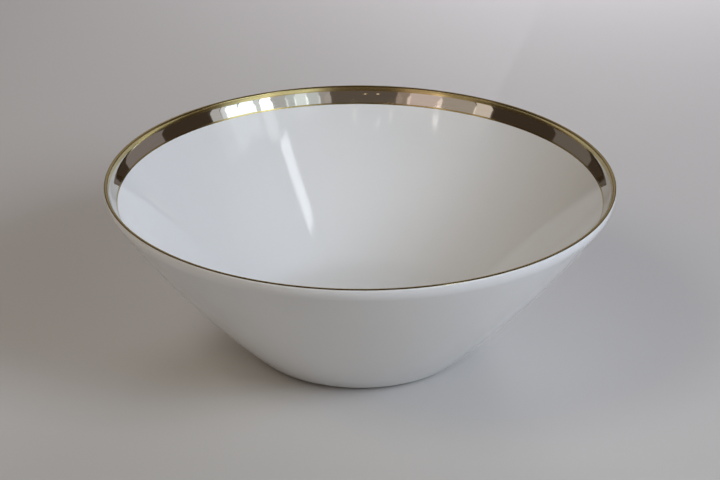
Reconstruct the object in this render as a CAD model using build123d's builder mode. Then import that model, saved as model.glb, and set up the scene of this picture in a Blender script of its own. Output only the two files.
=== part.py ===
from build123d import *
from math import asin, atan2, cos, degrees, hypot, radians, sin, sqrt
import os

# Porcelain serving bowl: a slightly rounded cone on a low recessed foot ring, glazed white,
# with a platinum band and gold lines fired on inside the rim.
# Millimetres, +Z up, origin on the bowl's axis at the level of the table.
# Every piece is turned about the axis, so each one is a half profile in the XZ plane.
# "Lean" is how far a surface leans out from upright, in degrees.

# Rim and lip
rim_radius = 120.0
lip_height = 85.0
lip_radius = 0.95

# Outside of the wall: a short taper under the lip, then one long arc, then a rounded bottom edge
taper_radius = 9.7
wall_top_lean = 33.1
wall_radius = 474.0
bottom_edge_radius = 4.0
bottom_clearance = 1.1

# Inside of the wall: the same lean under the lip, thickening slowly towards the floor
rim_wall = 2.4
inside_wall_radius = 420.0
floor_height = 7.2
floor_blend_radius = 24.0

# Foot ring and the shallow well inside it
foot_outer_radius = 49.0
foot_inner_radius = 44.0
foot_edge_radius = 0.6
well_depth = 3.2
well_blend_radius = 2.0
wiped_height = 0.9

# Coats and decoration: thickness, then widths measured down the inside from the lip's inner edge
glaze = 0.35
metal = 0.15
gold_lip_width = 1.8
platinum_width = 6.2
hairline_width = 0.9
gold_outer_angle = 40.0

os.makedirs("parts", exist_ok=True)


def outward(lean):
    """Unit direction square to a surface of this lean, pointing out from the bowl and down."""
    return cos(radians(lean)), -sin(radians(lean))


def along(start, direction, distance):
    """The point at a distance from another, in a direction."""
    return start[0] + direction[0] * distance, start[1] + direction[1] * distance


# Centres of the arcs, each found from its neighbour so that every join is tangent
top_direction = outward(wall_top_lean)
lip_centre = (rim_radius - lip_radius, lip_height)
taper_centre = (rim_radius - taper_radius, lip_height)
wall_centre = along(taper_centre, top_direction, taper_radius - wall_radius)
bottom_edge_height = bottom_clearance + bottom_edge_radius
base_drop = (wall_centre[1] - bottom_edge_height) / (wall_radius - bottom_edge_radius)
wall_base_lean = degrees(asin(base_drop))
bottom_edge_centre = along(wall_centre, outward(wall_base_lean), wall_radius - bottom_edge_radius)

# The inside taper is tangent to the inside wall at its top and to the round of the lip
inside_top = along(taper_centre, top_direction, taper_radius - rim_wall)
to_lip = (lip_centre[0] - inside_top[0], lip_centre[1] - inside_top[1])
lip_offset = to_lip[0] * top_direction[0] + to_lip[1] * top_direction[1]
inside_taper_radius = (hypot(*to_lip) ** 2 - lip_radius**2) / (2 * (lip_radius - lip_offset))
inside_taper_centre = along(inside_top, top_direction, -inside_taper_radius)
lip_rise = inside_taper_centre[1] - lip_centre[1]
lip_lean = degrees(atan2(lip_rise, lip_centre[0] - inside_taper_centre[0]))
inside_taper_length = inside_taper_radius * radians(wall_top_lean - lip_lean)
inside_wall_centre = along(inside_top, top_direction, -inside_wall_radius)

# The floor blend is tangent to the inside wall and to the flat floor
blend_height = floor_height + floor_blend_radius
blend_drop = inside_wall_centre[1] - blend_height
blend_reach = sqrt((inside_wall_radius - floor_blend_radius) ** 2 - blend_drop**2)
blend_centre = (inside_wall_centre[0] + blend_reach, blend_height)
blend_lean = degrees(atan2(blend_drop, blend_reach))

# Below the glaze
foot_joint = bottom_clearance + glaze
well_radius = foot_inner_radius - glaze
well_blend_centre = (well_radius - well_blend_radius, well_depth - well_blend_radius)


def inside_skin(depth):
    """Adds the inside, at a depth below the glaze's surface, from the axis to the lip's top."""
    floor = Line((0, floor_height - depth), (blend_centre[0], floor_height - depth))
    CenterArc(blend_centre, floor_blend_radius + depth, -90, 90 - blend_lean)
    wall = blend_lean - wall_top_lean
    CenterArc(inside_wall_centre, inside_wall_radius + depth, -blend_lean, wall)
    taper = wall_top_lean - lip_lean
    CenterArc(inside_taper_centre, inside_taper_radius + depth, -wall_top_lean, taper)
    lip = CenterArc(lip_centre, lip_radius - depth, 180 - lip_lean, lip_lean - 90)
    return floor @ 0, lip @ 1


def outside_skin(depth):
    """Adds the outside, at a depth below the glaze's surface, from the lip's top to the underside."""
    lip = CenterArc(lip_centre, lip_radius - depth, 90, -90)
    CenterArc(taper_centre, taper_radius - depth, 0, -wall_top_lean)
    wall = wall_top_lean - wall_base_lean
    CenterArc(wall_centre, wall_radius - depth, -wall_top_lean, wall)
    edge_radius = bottom_edge_radius - depth
    edge = CenterArc(bottom_edge_centre, edge_radius, -wall_base_lean, wall_base_lean - 90)
    return lip @ 0, edge @ 1


def well_skin(depth):
    """Adds the well under the floor, at a depth below its glaze, from the axis to the foot ring."""
    ceiling = Line((0, well_depth + depth), (well_blend_centre[0], well_depth + depth))
    blend = CenterArc(well_blend_centre, well_blend_radius + depth, 90, -90)
    return ceiling @ 0, blend @ 1


def inside_strip(proud, start, end):
    """Adds the inside between two distances down from the lip's inner edge, raised above the glaze."""
    edges = []
    taper_end = min(end, inside_taper_length)
    wall_start = max(start, inside_taper_length)
    if start < taper_end:
        start_angle = -lip_lean - degrees(start / inside_taper_radius)
        turn = -degrees((taper_end - start) / inside_taper_radius)
        radius = inside_taper_radius - proud
        edges.append(CenterArc(inside_taper_centre, radius, start_angle, turn))
    if wall_start < end:
        beyond = wall_start - inside_taper_length
        start_angle = -wall_top_lean - degrees(beyond / inside_wall_radius)
        turn = -degrees((end - wall_start) / inside_wall_radius)
        radius = inside_wall_radius - proud
        edges.append(CenterArc(inside_wall_centre, radius, start_angle, turn))
    return edges[0] @ 0, edges[-1] @ 1


def lip_round(radius):
    """Adds the round of the lip that the gold covers, from its outer edge over to its inner edge."""
    half_turn = (180 - lip_lean - gold_outer_angle) / 2
    outer_end = along(lip_centre, outward(-gold_outer_angle), radius)
    corner_weight = cos(radians(half_turn))
    corner = along(lip_centre, outward(-gold_outer_angle - half_turn), radius / corner_weight)
    inner_end = along(lip_centre, outward(-gold_outer_angle - 2 * half_turn), radius)
    return Bezier(outer_end, corner, inner_end, weights=[1, corner_weight, 1])


# Fired clay body: wall and floor in one, from just under the inside glaze to just under the outside
with BuildPart() as porcelain_body:
    with BuildSketch(Plane.XZ):
        with BuildLine():
            floor_centre, _ = inside_skin(glaze)
            _, edge_end = outside_skin(glaze)
            well_centre, well_wall = well_skin(glaze)
            Line(floor_centre, well_centre)
            Polyline(well_wall, (foot_inner_radius, foot_joint), edge_end)
        make_face()
    revolve(axis=Axis.Z)
porcelain_body.part.label = "porcelain_body"
export_step(porcelain_body.part, "parts/porcelain_body.step")

# Foot ring: bare ground clay, the only place where the bowl touches the table
with BuildPart() as foot_ring:
    with BuildSketch(Plane.XZ) as foot_profile:
        with BuildLine():
            Polyline(
                (foot_inner_radius, 0),
                (foot_outer_radius, 0),
                (foot_outer_radius, foot_joint),
                (foot_inner_radius, foot_joint),
                close=True,
            )
        make_face()
        fillet(foot_profile.vertices().group_by(Axis.Y)[0], foot_edge_radius)
    revolve(axis=Axis.Z)
foot_ring.part.label = "foot_ring"
export_step(foot_ring.part, "parts/foot_ring.step")

# Inside glaze: one coat over the floor and the wall, up to the top of the lip
with BuildPart() as inner_glaze:
    with BuildSketch(Plane.XZ):
        with BuildLine():
            surface_start, surface_end = inside_skin(0)
            clay_start, clay_end = inside_skin(glaze)
            Line(surface_start, clay_start)
            Line(surface_end, clay_end)
        make_face()
    revolve(axis=Axis.Z)
inner_glaze.part.label = "inner_glaze"
export_step(inner_glaze.part, "parts/inner_glaze.step")

# Outside glaze: from the top of the lip, round the bottom edge, in to the foot ring
with BuildPart() as outer_glaze:
    with BuildSketch(Plane.XZ):
        with BuildLine():
            surface_start, surface_end = outside_skin(0)
            clay_start, clay_end = outside_skin(glaze)
            Line(surface_start, clay_start)
            under_clay = (foot_outer_radius, foot_joint)
            under_surface = (foot_outer_radius, bottom_clearance)
            Polyline(surface_end, under_surface, under_clay, clay_end)
        make_face()
    revolve(axis=Axis.Z)
outer_glaze.part.label = "outer_glaze"
export_step(outer_glaze.part, "parts/outer_glaze.step")

# Well glaze: under the floor and down the inside of the foot ring, to where it is wiped clean
with BuildPart() as foot_well_glaze:
    with BuildSketch(Plane.XZ):
        with BuildLine():
            surface_start, surface_end = well_skin(0)
            clay_start, clay_end = well_skin(glaze)
            Line(surface_start, clay_start)
            wiped_surface = (well_radius, wiped_height)
            wiped_clay = (foot_inner_radius, wiped_height)
            Polyline(surface_end, wiped_surface, wiped_clay, clay_end)
        make_face()
    revolve(axis=Axis.Z)
foot_well_glaze.part.label = "foot_well_glaze"
export_step(foot_well_glaze.part, "parts/foot_well_glaze.step")

# Gold lip line: over the top of the lip and a little way down the inside
with BuildPart() as gold_lip_line:
    with BuildSketch(Plane.XZ):
        with BuildLine():
            under_lip = lip_round(lip_radius)
            over_lip = lip_round(lip_radius + metal)
            _, under_end = inside_strip(0, 0, gold_lip_width)
            _, over_end = inside_strip(metal, 0, gold_lip_width)
            Line(under_lip @ 0, over_lip @ 0)
            Line(under_end, over_end)
        make_face()
    revolve(axis=Axis.Z)
gold_lip_line.part.label = "gold_lip_line"
export_step(gold_lip_line.part, "parts/gold_lip_line.step")

# Platinum band and the gold hairline that closes it, one below the other on the inside glaze
platinum_end = gold_lip_width + platinum_width
with BuildPart() as platinum_band:
    with BuildSketch(Plane.XZ):
        with BuildLine():
            under_start, under_end = inside_strip(0, gold_lip_width, platinum_end)
            over_start, over_end = inside_strip(metal, gold_lip_width, platinum_end)
            Line(under_start, over_start)
            Line(under_end, over_end)
        make_face()
    revolve(axis=Axis.Z)
platinum_band.part.label = "platinum_band"
export_step(platinum_band.part, "parts/platinum_band.step")

hairline_end = platinum_end + hairline_width
with BuildPart() as gold_hairline:
    with BuildSketch(Plane.XZ):
        with BuildLine():
            under_start, under_end = inside_strip(0, platinum_end, hairline_end)
            over_start, over_end = inside_strip(metal, platinum_end, hairline_end)
            Line(under_start, over_start)
            Line(under_end, over_end)
        make_face()
    revolve(axis=Axis.Z)
gold_hairline.part.label = "gold_hairline"
export_step(gold_hairline.part, "parts/gold_hairline.step")
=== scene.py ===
import math

import bpy
import numpy as np
from mathutils import Matrix, Vector


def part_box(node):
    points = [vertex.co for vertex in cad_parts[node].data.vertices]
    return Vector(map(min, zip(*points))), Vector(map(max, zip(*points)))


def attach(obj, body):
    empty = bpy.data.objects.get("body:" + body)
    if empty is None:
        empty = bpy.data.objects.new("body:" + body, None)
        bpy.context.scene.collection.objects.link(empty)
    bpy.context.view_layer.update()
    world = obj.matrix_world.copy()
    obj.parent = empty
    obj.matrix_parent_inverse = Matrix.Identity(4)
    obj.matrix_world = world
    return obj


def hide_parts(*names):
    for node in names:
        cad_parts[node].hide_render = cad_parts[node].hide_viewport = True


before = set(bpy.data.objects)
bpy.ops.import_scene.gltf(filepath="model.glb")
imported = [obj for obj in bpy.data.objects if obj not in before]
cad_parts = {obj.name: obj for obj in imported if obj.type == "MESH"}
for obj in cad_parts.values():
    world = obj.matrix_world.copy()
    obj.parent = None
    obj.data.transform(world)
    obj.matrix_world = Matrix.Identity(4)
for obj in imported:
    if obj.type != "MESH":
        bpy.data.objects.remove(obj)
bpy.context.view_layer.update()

# Viewpoint: a short telephoto lens just above the table's height for a seated person, looking
# down into the bowl. Placed first, from the bowl's own axis and the table under its foot.
VIEW_BACK = 0.76921
VIEW_HEIGHT = 0.41782
VIEW_DOWN = math.radians(25.456)
VIEW_ROLL = math.radians(0.158)
VIEW_LENS = 88.8

view = bpy.data.cameras.new("viewpoint")
view.sensor_width = 36.0
view.lens = VIEW_LENS
view.clip_start = 0.05
view.clip_end = 30.0
viewpoint = bpy.data.objects.new("viewpoint", view)
viewpoint.rotation_euler = (
    Matrix.Rotation(math.pi / 2 - VIEW_DOWN, 3, "X") @ Matrix.Rotation(VIEW_ROLL, 3, "Z")
).to_euler()
viewpoint.location = (0.0, -VIEW_BACK, VIEW_HEIGHT)
bpy.context.collection.objects.link(viewpoint)
bpy.context.scene.camera = viewpoint


# Clay body: the pressed and fired wall and floor, which everything else is fused to. It keeps
# its own turned shape and is seen only as the white ground behind the glaze. Warm, matt and
# faintly grained, as biscuit-fired porcelain is.
class Shade:
    """One socket of a shader tree. Sums on it, with numbers or with another, add Math nodes."""

    def __init__(self, tree, socket=None):
        self.tree = tree
        self.socket = socket

    def node(self, kind, settings=(), inputs=(), output=0):
        """Adds a node: its settings first, then a value or a link for each of its sockets."""
        made = self.tree.nodes.new(kind)
        for name, value in dict(settings).items():
            setattr(made, name, value)
        for name, value in dict(inputs).items():
            if isinstance(value, Shade):
                self.tree.links.new(value.socket, made.inputs[name])
            else:
                made.inputs[name].default_value = value
        return Shade(self.tree, made.outputs[output])

    def maths(self, operation, first, second=0.0):
        return self.node("ShaderNodeMath", {"operation": operation}, {0: first, 1: second})

    def __add__(self, other):
        return self.maths("ADD", self, other)

    def __radd__(self, other):
        return self.maths("ADD", other, self)

    def __mul__(self, other):
        return self.maths("MULTIPLY", self, other)

    def __rmul__(self, other):
        return self.maths("MULTIPLY", other, self)

    def place(self, stretch=(1.0, 1.0, 1.0)):
        """The point on the piece, in metres, stretched along its axes."""
        here = self.node("ShaderNodeTexCoord", output="Object")
        return self.node("ShaderNodeVectorMath", {"operation": "MULTIPLY"}, {0: here, 1: stretch})

    def noise(self, size, detail=2.0, stretch=(1.0, 1.0, 1.0)):
        """Soft random values from 0 to 1, about size metres from crest to crest."""
        inputs = {"Vector": self.place(stretch), "Scale": 1.0 / size, "Detail": detail}
        return self.node("ShaderNodeTexNoise", {}, inputs)

    def blend(self, mask, dark, light):
        """A colour between two, by a mask from 0 to 1."""
        inputs = {0: mask, 6: (*dark, 1.0), 7: (*light, 1.0)}
        return self.node("ShaderNodeMix", {"data_type": "RGBA"}, inputs, output=2)

    def bump(self, height, rise):
        """A surface normal tilted by a height from 0 to 1, which stands for rise metres."""
        return self.node("ShaderNodeBump", {}, {"Height": height, "Distance": rise})


def finish(name, colour, roughness, normal, **fixed):
    """A Principled material: what varies is linked, and what is the same all over is a value."""
    made = bpy.data.materials.new(name)
    made.use_nodes = True
    tree = made.node_tree
    surface = tree.nodes["Principled BSDF"]
    for socket, value in (("Base Color", colour), ("Roughness", roughness), ("Normal", normal)):
        tree.links.new(value(Shade(tree)).socket, surface.inputs[socket])
    for socket, value in fixed.items():
        surface.inputs[socket.replace("_", " ")].default_value = value
    return made


BISCUIT_LIGHT = (0.80, 0.79, 0.76)
BISCUIT_DARK = (0.72, 0.70, 0.66)

biscuit = finish(
    "biscuit",
    colour=lambda s: s.blend(s.noise(0.012, 4.0), BISCUIT_DARK, BISCUIT_LIGHT),
    roughness=lambda s: 0.62 + 0.2 * s.noise(0.003, 3.0),
    normal=lambda s: s.bump(s.noise(0.0007, 3.0), 0.00006),
)
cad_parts["porcelain_body"].data.materials.clear()
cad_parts["porcelain_body"].data.materials.append(biscuit)


# Inside glaze: clear glossy glaze over white clay, poured in and swilled round, so it lies in
# one unbroken skin over the floor, up the wall and over the top of the lip.
GLAZE = 0.00035
LIP_RADIUS = 0.00095
TAPER_RADIUS = 0.0097
WALL_TOP_LEAN = 33.1
RIM_WALL = 0.0024
WALL_RADIUS = 0.474
INSIDE_WALL_RADIUS = 0.420
FLOOR_BLEND_RADIUS = 0.024
SEGMENTS = 512

outside_low, outside_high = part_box("outer_glaze")
inside_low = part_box("inner_glaze")[0]
rim_radius = outside_high.x
lip_height = outside_high.z - LIP_RADIUS
floor_height = inside_low.z + GLAZE


def facing(lean):
    """Unit direction square to a surface that leans out this many degrees: out and down."""
    return np.array([math.cos(math.radians(lean)), -math.sin(math.radians(lean))])


def arc(centre, radius, start, end, steps):
    """Points on a circle: its centre plus its radius times the cosine and sine of even angles."""
    angle = np.radians(np.linspace(start, end, steps + 1))
    return np.asarray(centre) + radius * np.stack([np.cos(angle), np.sin(angle)], 1)


top_facing = facing(WALL_TOP_LEAN)
lip_centre = np.array([rim_radius - LIP_RADIUS, lip_height])
taper_centre = np.array([rim_radius - TAPER_RADIUS, lip_height])
inside_top = taper_centre + top_facing * (TAPER_RADIUS - RIM_WALL)
to_lip = lip_centre - inside_top
inside_taper_radius = (to_lip @ to_lip - LIP_RADIUS**2) / (2 * (LIP_RADIUS - to_lip @ top_facing))
inside_taper_centre = inside_top - top_facing * inside_taper_radius
lip_drop = inside_taper_centre - lip_centre
lip_lean = math.degrees(math.atan2(lip_drop[1], -lip_drop[0]))
inside_centre = inside_top - top_facing * INSIDE_WALL_RADIUS
blend_height = floor_height + FLOOR_BLEND_RADIUS
blend_drop = inside_centre[1] - blend_height
blend_reach = math.sqrt((INSIDE_WALL_RADIUS - FLOOR_BLEND_RADIUS) ** 2 - blend_drop**2)
blend_centre = (inside_centre[0] + blend_reach, blend_height)
blend_lean = math.degrees(math.atan2(blend_drop, blend_reach))


def inside_skin(depth, fine):
    """The inside as a line of points, at a depth under the glaze, from the axis to the lip's top:
    flat floor, blend, long wall arc, short taper and half the lip, each arc tangent to the next."""
    radius = INSIDE_WALL_RADIUS + depth
    taper = inside_taper_radius + depth
    floor = np.stack(np.broadcast_arrays(np.linspace(0, blend_centre[0], 9), floor_height - depth), 1)
    blend = arc(blend_centre, FLOOR_BLEND_RADIUS + depth, -90, -blend_lean, 6 * fine)
    wall = arc(inside_centre, radius, -blend_lean, -WALL_TOP_LEAN, 14 * fine)
    top = arc(inside_taper_centre, taper, -WALL_TOP_LEAN, -lip_lean, 3 * fine)
    lip = arc(lip_centre, LIP_RADIUS - depth, 180 - lip_lean, 90, 3 * fine)
    return np.concatenate([floor, blend[1:], wall[1:], top[1:], lip[1:]])


def turned(name, outline, material, slot, *nodes):
    """Turns a closed outline of (radius, height) points about the bowl's axis: each point goes to
    its radius times the cosine and sine of even angles, at its height. A point on the axis stays
    one vertex. The outline runs so that the piece lies on its left, which faces the skin out."""
    angle = np.linspace(0, 2 * math.pi, SEGMENTS, endpoint=False)
    on_axis = outline[:, 0] < 1e-7
    ring = outline[~on_axis]
    around = np.stack([np.cos(angle), np.sin(angle)], 1)
    grid = np.empty((SEGMENTS, len(ring), 3))
    grid[:, :, :2] = around[:, None, :] * ring[None, :, :1]
    grid[:, :, 2] = ring[:, 1]
    i = np.arange(SEGMENTS)[:, None] * len(ring)
    i_next = np.roll(i, -1, 0)
    j = np.arange(len(ring))[None, :]
    j_next = np.roll(j, -1, 1)
    quads = np.stack([i + j, i_next + j, i_next + j_next, i + j_next], -1)
    points, faces = grid.reshape(-1, 3), quads
    if on_axis.any():
        faces = quads[:, :-1]
        points = np.concatenate([points, [[0, 0, outline[0, 1]], [0, 0, outline[-1, 1]]]])
    faces = faces.reshape(-1, 4).tolist()
    if on_axis.any():
        first, last = len(points) - 2, len(points) - 1
        start, stop = i[:, 0], i[:, 0] + len(ring) - 1
        faces += np.stack([np.full(SEGMENTS, first), np.roll(start, -1), start], 1).tolist()
        faces += np.stack([np.full(SEGMENTS, last), stop, np.roll(stop, -1)], 1).tolist()
    return piece(name, points, faces, material, slot, *nodes)


def piece(name, points, faces, material, slot, *nodes):
    """Makes a smooth piece of the bowl from its points and faces, in place of its plain nodes."""
    mesh = bpy.data.meshes.new(name)
    mesh.from_pydata(points.tolist(), [], faces)
    mesh.polygons.foreach_set("use_smooth", np.ones(len(mesh.polygons), bool))
    mesh.set_sharp_from_angle(angle=math.radians(50))
    mesh.materials.append(material)
    made = bpy.data.objects.new(name, mesh)
    bpy.context.collection.objects.link(made)
    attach(made, "root")
    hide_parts(*nodes)
    return made


GLAZE_WHITE = (0.86, 0.865, 0.865)
GLAZE_POOLED = (0.845, 0.855, 0.86)

white_glaze = finish(
    "white_glaze",
    colour=lambda s: s.blend(s.noise(0.06), GLAZE_POOLED, GLAZE_WHITE),
    roughness=lambda s: 0.045 + 0.03 * s.noise(0.02, 4.0),
    normal=lambda s: s.bump(s.noise(0.035, 1.0), 0.00006),
    IOR=1.52,
)
turned(
    "glazed_inside",
    np.concatenate([inside_skin(GLAZE, 2), inside_skin(0, 6)[::-1]]),
    white_glaze,
    "white_glaze",
    "inner_glaze",
)


# Outside glaze: the same glaze from the top of the lip down the outside, round the bottom edge
# and in to the foot ring. The wall turns upright just under the lip, where it catches the light.
BOTTOM_EDGE_RADIUS = 0.004

bottom_clearance = outside_low.z
foot_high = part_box("foot_ring")[1]
wall_centre = taper_centre + top_facing * (TAPER_RADIUS - WALL_RADIUS)
bottom_reach = WALL_RADIUS - BOTTOM_EDGE_RADIUS
bottom_drop = wall_centre[1] - bottom_clearance - BOTTOM_EDGE_RADIUS
base_lean = math.degrees(math.asin(bottom_drop / bottom_reach))
edge_centre = wall_centre + facing(base_lean) * bottom_reach


def outside_skin(depth, fine):
    """The outside as a line of points, at a depth under the glaze, from the lip's top to the foot
    ring: half the lip, short taper, long wall arc, bottom edge and the flat under it."""
    lip = arc(lip_centre, LIP_RADIUS - depth, 90, 0, 3 * fine)
    taper = arc(taper_centre, TAPER_RADIUS - depth, 0, -WALL_TOP_LEAN, 3 * fine)
    wall = arc(wall_centre, WALL_RADIUS - depth, -WALL_TOP_LEAN, -base_lean, 14 * fine)
    edge = arc(edge_centre, BOTTOM_EDGE_RADIUS - depth, -base_lean, -90, 3 * fine)
    foot = np.array([[foot_high.x, bottom_clearance + depth]])
    return np.concatenate([lip, taper[1:], wall[1:], edge[1:], foot])


turned(
    "glazed_outside",
    np.concatenate([outside_skin(0, 6)[::-1], outside_skin(GLAZE, 2)]),
    white_glaze,
    "white_glaze",
    "outer_glaze",
)


# Foot: a low ring of bare clay, ground flat where it stands, set in from the bottom edge. Inside
# it the shallow well under the floor is glazed down to where the ring is wiped clean.
FOOT_EDGE_RADIUS = 0.0006
FOOT_INNER_RADIUS = 0.044
WELL_BLEND_RADIUS = 0.002

well_low, well_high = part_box("foot_well_glaze")
well_height = well_high.z - GLAZE
well_radius = FOOT_INNER_RADIUS - GLAZE
well_centre = (well_radius - WELL_BLEND_RADIUS, well_height - WELL_BLEND_RADIUS)
inner_edge = (FOOT_INNER_RADIUS + FOOT_EDGE_RADIUS, FOOT_EDGE_RADIUS)
outer_edge = (foot_high.x - FOOT_EDGE_RADIUS, FOOT_EDGE_RADIUS)
foot_outline = np.concatenate(
    [
        arc(inner_edge, FOOT_EDGE_RADIUS, 180, 270, 8),
        arc(outer_edge, FOOT_EDGE_RADIUS, 270, 360, 8),
        [[foot_high.x, foot_high.z], [FOOT_INNER_RADIUS, foot_high.z]],
    ]
)


def well_skin(depth, steps):
    """The well as a line of points, at a depth under its glaze, from the axis to the wiped edge."""
    flat = np.stack(np.broadcast_arrays(np.linspace(0, well_centre[0], 9), well_height + depth), 1)
    blend = arc(well_centre, WELL_BLEND_RADIUS + depth, 90, 0, steps)
    return np.concatenate([flat, blend[1:], [[well_radius + depth, well_low.z]]])


ground_clay = finish(
    "ground_clay",
    colour=lambda s: s.blend(s.noise(0.004, 5.0), BISCUIT_DARK, BISCUIT_LIGHT),
    roughness=lambda s: 0.45 + 0.3 * s.noise(0.002, 4.0),
    normal=lambda s: s.bump(s.noise(0.0004, 3.0), 0.00004),
)
turned("ground_foot", foot_outline, ground_clay, "bisque", "foot_ring")
turned(
    "glazed_well",
    np.concatenate([well_skin(0, 12), well_skin(GLAZE, 12)[::-1]]),
    white_glaze,
    "white_glaze",
    "foot_well_glaze",
)


# Platinum band: liquid platinum banded on with a brush on a turning wheel and fired, so thin
# that it has no edge to feel. Burnished to a mirror, with faint marks running round it. The gold
# lines lap over both its edges.
FILM_LIFT = 0.00003
FILM_ROOT = 0.00008
FILM_EDGE = 0.00003
FILM_WANDER = 0.00001
FILM_PHASE = 0.4
UNDER_GOLD = 0.0001
GOLD_LIP_WIDTH = 0.0018
PLATINUM_WIDTH = 0.0062
BAND_SEGMENTS = 720

taper_length = inside_taper_radius * math.radians(WALL_TOP_LEAN - lip_lean)


def inside_rim(down, lift):
    """Points on the inside near the rim, a distance down from the lip's inner edge and lifted off
    the glaze. Each lies on one of three circles, the lip's round, the taper's and the wall's, at
    the angle that its distance along that circle gives."""
    lip_angle = math.radians(180 - lip_lean) + down / LIP_RADIUS
    taper_angle = -math.radians(lip_lean) - down / inside_taper_radius
    wall_angle = -math.radians(WALL_TOP_LEAN) - (down - taper_length) / INSIDE_WALL_RADIUS
    over, below = down < 0, down > taper_length
    angle = np.where(over, lip_angle, np.where(below, wall_angle, taper_angle))
    across = np.where(below, INSIDE_WALL_RADIUS, inside_taper_radius) - lift
    radius = np.where(over, LIP_RADIUS + lift, across)
    middle_r = np.where(below, inside_centre[0], inside_taper_centre[0])
    middle_z = np.where(below, inside_centre[1], inside_taper_centre[1])
    centre_r = np.where(over, lip_centre[0], middle_r)
    centre_z = np.where(over, lip_centre[1], middle_z)
    return centre_r + radius * np.cos(angle), centre_z + radius * np.sin(angle)


def film(name, start, end, lift_off, rows, material, slot, node):
    """A fired metal film, as a grid of distance down the inside and angle round the bowl. Its two
    edges wander by a sum of three sines. The top is flat to within an edge's width of each side
    and drops there to just under the glaze. The underside is rooted just inside the glaze."""
    angle = np.linspace(0, 2 * math.pi, BAND_SEGMENTS, endpoint=False)[:, None]
    waves = [np.sin((angle + FILM_PHASE) * turns) / turns for turns in (3, 7, 17)]
    shift = FILM_WANDER * (waves[0] + 2 * waves[1] + 3 * waves[2])
    edge = FILM_EDGE / (end - start)
    flat = np.linspace(2 * edge, 1 - 2 * edge, rows)
    top_side = np.concatenate([[0, edge], flat, [1 - edge, 1]])
    share = np.concatenate([top_side, np.linspace(1, 0, 7)])[None, :]
    down = start + shift + (end - start) * share
    lift = np.full_like(share, -FILM_ROOT)
    lift[:, 1 : top_side.size - 1] = lift_off
    lift[:, [0, top_side.size - 1]] = -lift_off / 10
    radius, height = inside_rim(down, lift)
    grid = np.stack([radius * np.cos(angle), radius * np.sin(angle), height], -1)
    i = np.arange(BAND_SEGMENTS)[:, None] * share.size
    i_next = np.roll(i, -1, 0)
    j = np.arange(share.size)[None, :]
    j_next = np.roll(j, -1, 1)
    quads = np.stack([i + j, i_next + j, i_next + j_next, i + j_next], -1).reshape(-1, 4)
    return piece(name, grid.reshape(-1, 3), quads.tolist(), material, slot, node)


PLATINUM_LIGHT = (0.74, 0.72, 0.69)
PLATINUM_DARK = (0.68, 0.655, 0.62)
ROUND_THE_RIM = (0.12, 0.12, 1.0)

platinum = finish(
    "platinum",
    colour=lambda s: s.blend(s.noise(0.0012, 3.0, ROUND_THE_RIM), PLATINUM_DARK, PLATINUM_LIGHT),
    roughness=lambda s: 0.02 + 0.05 * s.noise(0.0008, 4.0, ROUND_THE_RIM),
    normal=lambda s: s.bump(s.noise(0.024, 1.0), 0.000006),
    Metallic=1.0,
)
platinum_end = GOLD_LIP_WIDTH + PLATINUM_WIDTH
film(
    "platinum_mirror_band", GOLD_LIP_WIDTH - UNDER_GOLD, platinum_end + UNDER_GOLD, FILM_LIFT, 25,
    platinum, "platinum", "platinum_band",
)


# Gold: two lines of bright gold, one over the lip and a little way down the inside, where
# handling has dulled it, and one hair-fine line that closes the band below.
GOLD_LIFT = 0.00005
HAIRLINE_WIDTH = 0.0009
GOLD_OUTER_ANGLE = 40.0
GOLD_LIGHT = (0.62, 0.52, 0.27)
GOLD_RUBBED = (0.51, 0.415, 0.195)

gold_over_lip = LIP_RADIUS * math.radians(180 - lip_lean - GOLD_OUTER_ANGLE)
bright_gold = finish(
    "bright_gold",
    colour=lambda s: s.blend(s.noise(0.002, 4.0, ROUND_THE_RIM), GOLD_RUBBED, GOLD_LIGHT),
    roughness=lambda s: 0.13 + 0.08 * s.noise(0.001, 4.0, ROUND_THE_RIM),
    normal=lambda s: s.bump(s.noise(0.012, 2.0), 0.000004),
    Metallic=1.0,
)
film(
    "gold_lip", -gold_over_lip, GOLD_LIP_WIDTH, GOLD_LIFT, 61,
    bright_gold, "bright_gold", "gold_lip_line",
)
film(
    "gold_fine_line", platinum_end, platinum_end + HAIRLINE_WIDTH, GOLD_LIFT, 13,
    bright_gold, "bright_gold", "gold_hairline",
)


# Table: a plain pale matt top, far wider than the bowl, which stands on it. It is the stage, and
# not part of the bowl.
TABLE_REACH = 4.0
TABLE_PALE = (0.625, 0.61, 0.595)
TABLE_SHADE = (0.605, 0.59, 0.575)

table_mesh = bpy.data.meshes.new("table_top")
table_corners = [(-TABLE_REACH, -TABLE_REACH), (TABLE_REACH, -TABLE_REACH)]
table_corners += [(TABLE_REACH, TABLE_REACH), (-TABLE_REACH, TABLE_REACH)]
table_mesh.from_pydata([(x, y, 0.0) for x, y in table_corners], [], [(0, 1, 2, 3)])
table_mesh.materials.append(
    finish(
        "table_matt",
        colour=lambda s: s.blend(s.noise(0.3), TABLE_SHADE, TABLE_PALE),
        roughness=lambda s: 0.5 + 0.1 * s.noise(0.05),
        normal=lambda s: s.bump(s.noise(0.002), 0.00001),
    )
)
table_top = bpy.data.objects.new("table_top", table_mesh)
bpy.context.collection.objects.link(table_top)


# Light: a pale studio. Three soft lamps shine on the bowl, and cards round them are mirrored in
# the glaze and the metals: windows to the right and lit walls to the left. Angles are in degrees:
# round to the right from the viewpoint's side of the bowl, and up from the table.
CARDS_AWAY = 2.2
CARD_LEAN = 0.24


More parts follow.
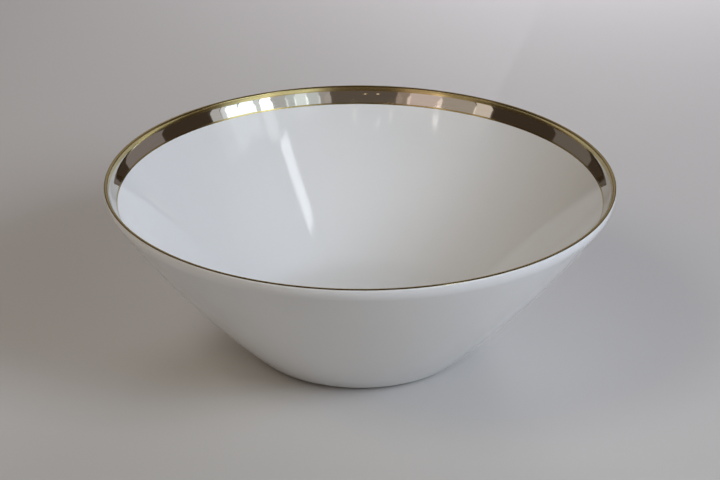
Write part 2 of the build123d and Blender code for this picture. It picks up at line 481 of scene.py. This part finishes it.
def aimed(name, round_to, up_to, away, width, height, colour, glow):
    """An area light facing the bowl. Its power is pi times its area times the glow on its face."""
    lamp = bpy.data.lights.new(name, "AREA")
    lamp.shape = "RECTANGLE"
    lamp.size = width
    lamp.size_y = height
    lamp.color = colour
    lamp.energy = math.pi * width * height * glow
    made = bpy.data.objects.new(name, lamp)
    turn, rise = math.radians(round_to), math.radians(up_to)
    level = math.cos(rise)
    towards = Vector((math.sin(turn) * level, -math.cos(turn) * level, math.sin(rise)))
    made.location = towards * away + Vector((0, 0, lip_height / 2))
    made.rotation_euler = towards.to_track_quat("Z", "Y").to_euler()
    bpy.context.collection.objects.link(made)
    return made


def soft_lamp(name, round_to, up_to, away, side, colour, glow):
    """A square soft lamp that is not mirrored."""
    aimed(name, round_to, up_to, away, side, side, colour, glow).visible_glossy = False


def card(name, left, right, low, high, colour, glow):
    """A glowing card between two angles round and two angles up. Its sides are twice its distance
    times the tangent of half the angle across, and its width shrinks by the cosine of its rise."""
    up_to = (low + high) / 2
    across = math.tan(math.radians(right - left) / 2) * math.cos(math.radians(up_to))
    tall = math.tan(math.radians(high - low) / 2)
    width, height = 2 * CARDS_AWAY * across, 2 * CARDS_AWAY * tall
    return aimed(name, (left + right) / 2, up_to, CARDS_AWAY, width, height, colour, glow)


def mirrored_card(name, left, right, low, high, colour, glow):
    """A card that is mirrored but does not light the bowl."""
    card(name, left, right, low, high, colour, glow).visible_diffuse = False


def leaning_card(name, left, right, low, high, colour, glow, foot_glow=0.0):
    """A card placed by its top edge. It leans away from the viewpoint by a share of its angle
    round, so that its edges look upright in the band: lower down it stands nearer by the tangent
    of its lean times the drop. Below it there may be a foot, down to the table, mirrored only."""
    lean = math.radians(CARD_LEAN * (left + right) / 2)
    parts = [(name, low, high, glow)]
    if foot_glow:
        parts.append((name + "_foot", 0, low, foot_glow))
    for part, bottom, top, shine in parts:
        up_to = (bottom + top) / 2
        shift = math.tan(lean) * (high - up_to) / math.cos(math.radians(up_to))
        made = card(part, left - shift, right - shift, bottom, top, colour, shine)
        made.rotation_euler.rotate_axis("Z", -lean)
        made.visible_diffuse = part == name


soft_lamp("window_light", 56, 33, 1.2, 0.45, (0.77, 0.85, 1.0), 10.3)
soft_lamp("back_light", 165, 20, 1.0, 0.4, (0.9, 0.9, 1.0), 7.5)
soft_lamp("left_light", -60, 50, 1.5, 0.6, (1.0, 0.93, 0.79), 3.8)

leaning_card("pane_left", 61.5, 70, 17, 43.5, (0.85, 0.97, 1.0), 1.9, 1.2)
leaning_card("pane_right", 70.8, 77.5, 17, 42, (0.85, 0.97, 1.0), 1.9, 0.6)
leaning_card("pane_edge", 77.5, 80.5, 15, 41, (0.9, 0.96, 1.0), 0.85, 0.5)
leaning_card("window_frame", 81, 86.5, 14, 40, (0.98, 1.0, 1.0), 0.5, 0.15)
leaning_card("window_post", 58.3, 61.3, 14, 45, (0.92, 1.0, 1.0), 0.8, 0.9)
leaning_card("bright_door", 52, 58, 17, 46.5, (0.92, 1.0, 1.0), 2.6, 1.4)
leaning_card("grey_wall", 42.8, 51.5, 14, 46.5, (0.96, 1.0, 1.0), 0.48, 0.9)
leaning_card("curtain_side", 37.8, 42.5, 14, 47, (0.9, 1.0, 1.0), 0.6, 0.8)
leaning_card("curtain_fold", 31, 37.5, 14, 48, (0.9, 0.99, 1.0), 0.95, 1.0)
leaning_card("curtain", 24, 30.8, 14, 48.5, (0.9, 0.99, 1.0), 0.65, 1.0)
leaning_card("curtain_edge", 17.5, 23.5, 14, 48.5, (1.0, 0.96, 0.92), 0.34, 0.3)
mirrored_card("high_slot", 47.5, 54.5, 47, 56.5, (0.85, 0.93, 1.0), 6.0)
leaning_card("dark_room", -20.5, 17, 14, 50, (1.0, 0.85, 0.7), 0.07, 0.07)
leaning_card("right_wall", 119, 150, 0, 27, (1.0, 0.93, 0.9), 0.17)
leaning_card("warm_wall_1", -28.5, -21.5, 14, 49, (1.0, 0.8, 0.66), 0.27, 0.2)
leaning_card("warm_wall_2", -46, -29, 14, 48, (1.0, 0.82, 0.74), 0.6, 0.5)
leaning_card("warm_wall_3", -66, -46.5, 14, 46, (1.0, 0.88, 0.75), 0.36, 0.3)
leaning_card("warm_wall_4", -75.5, -66.5, 14, 42, (1.0, 0.88, 0.76), 0.66, 0.1)
mirrored_card("warm_spot", -48.5, -44.5, 45.7, 46.6, (1.0, 0.93, 0.85), 6.0)
leaning_card("left_wall", -146, -117, 0, 28, (1.0, 0.92, 0.82), 0.1)
mirrored_card("bulb_1", 3.2, 4.6, 49.95, 50.3, (1.0, 0.85, 0.7), 14.0)
mirrored_card("bulb_2", -19.8, -18.4, 49.35, 49.7, (1.0, 0.85, 0.75), 12.0)
mirrored_card("bulb_3", -12.4, -11, 50.7, 51.05, (0.98, 0.95, 1.0), 12.0)
mirrored_card("back_wall", 148, 212, 10, 56, (1.0, 0.93, 0.87), 0.28)
mirrored_card("warm_lamp", -41.5, -36, 8, 20, (1.0, 0.86, 0.82), 0.9)
mirrored_card("bulb_4", -3, -2, 36, 39, (1.0, 0.75, 0.4), 1.5)
mirrored_card("bulb_5", -9.8, -8.8, 34, 38, (1.0, 0.8, 0.5), 1.5)

room = bpy.data.worlds.new("room")
room.use_nodes = True
bpy.context.scene.world = room
background = room.node_tree.nodes["Background"]
background.inputs["Color"].default_value = (1.0, 0.68, 0.43, 1.0)
background.inputs["Strength"].default_value = 0.05
bpy.context.scene.view_settings.view_transform = "Standard"
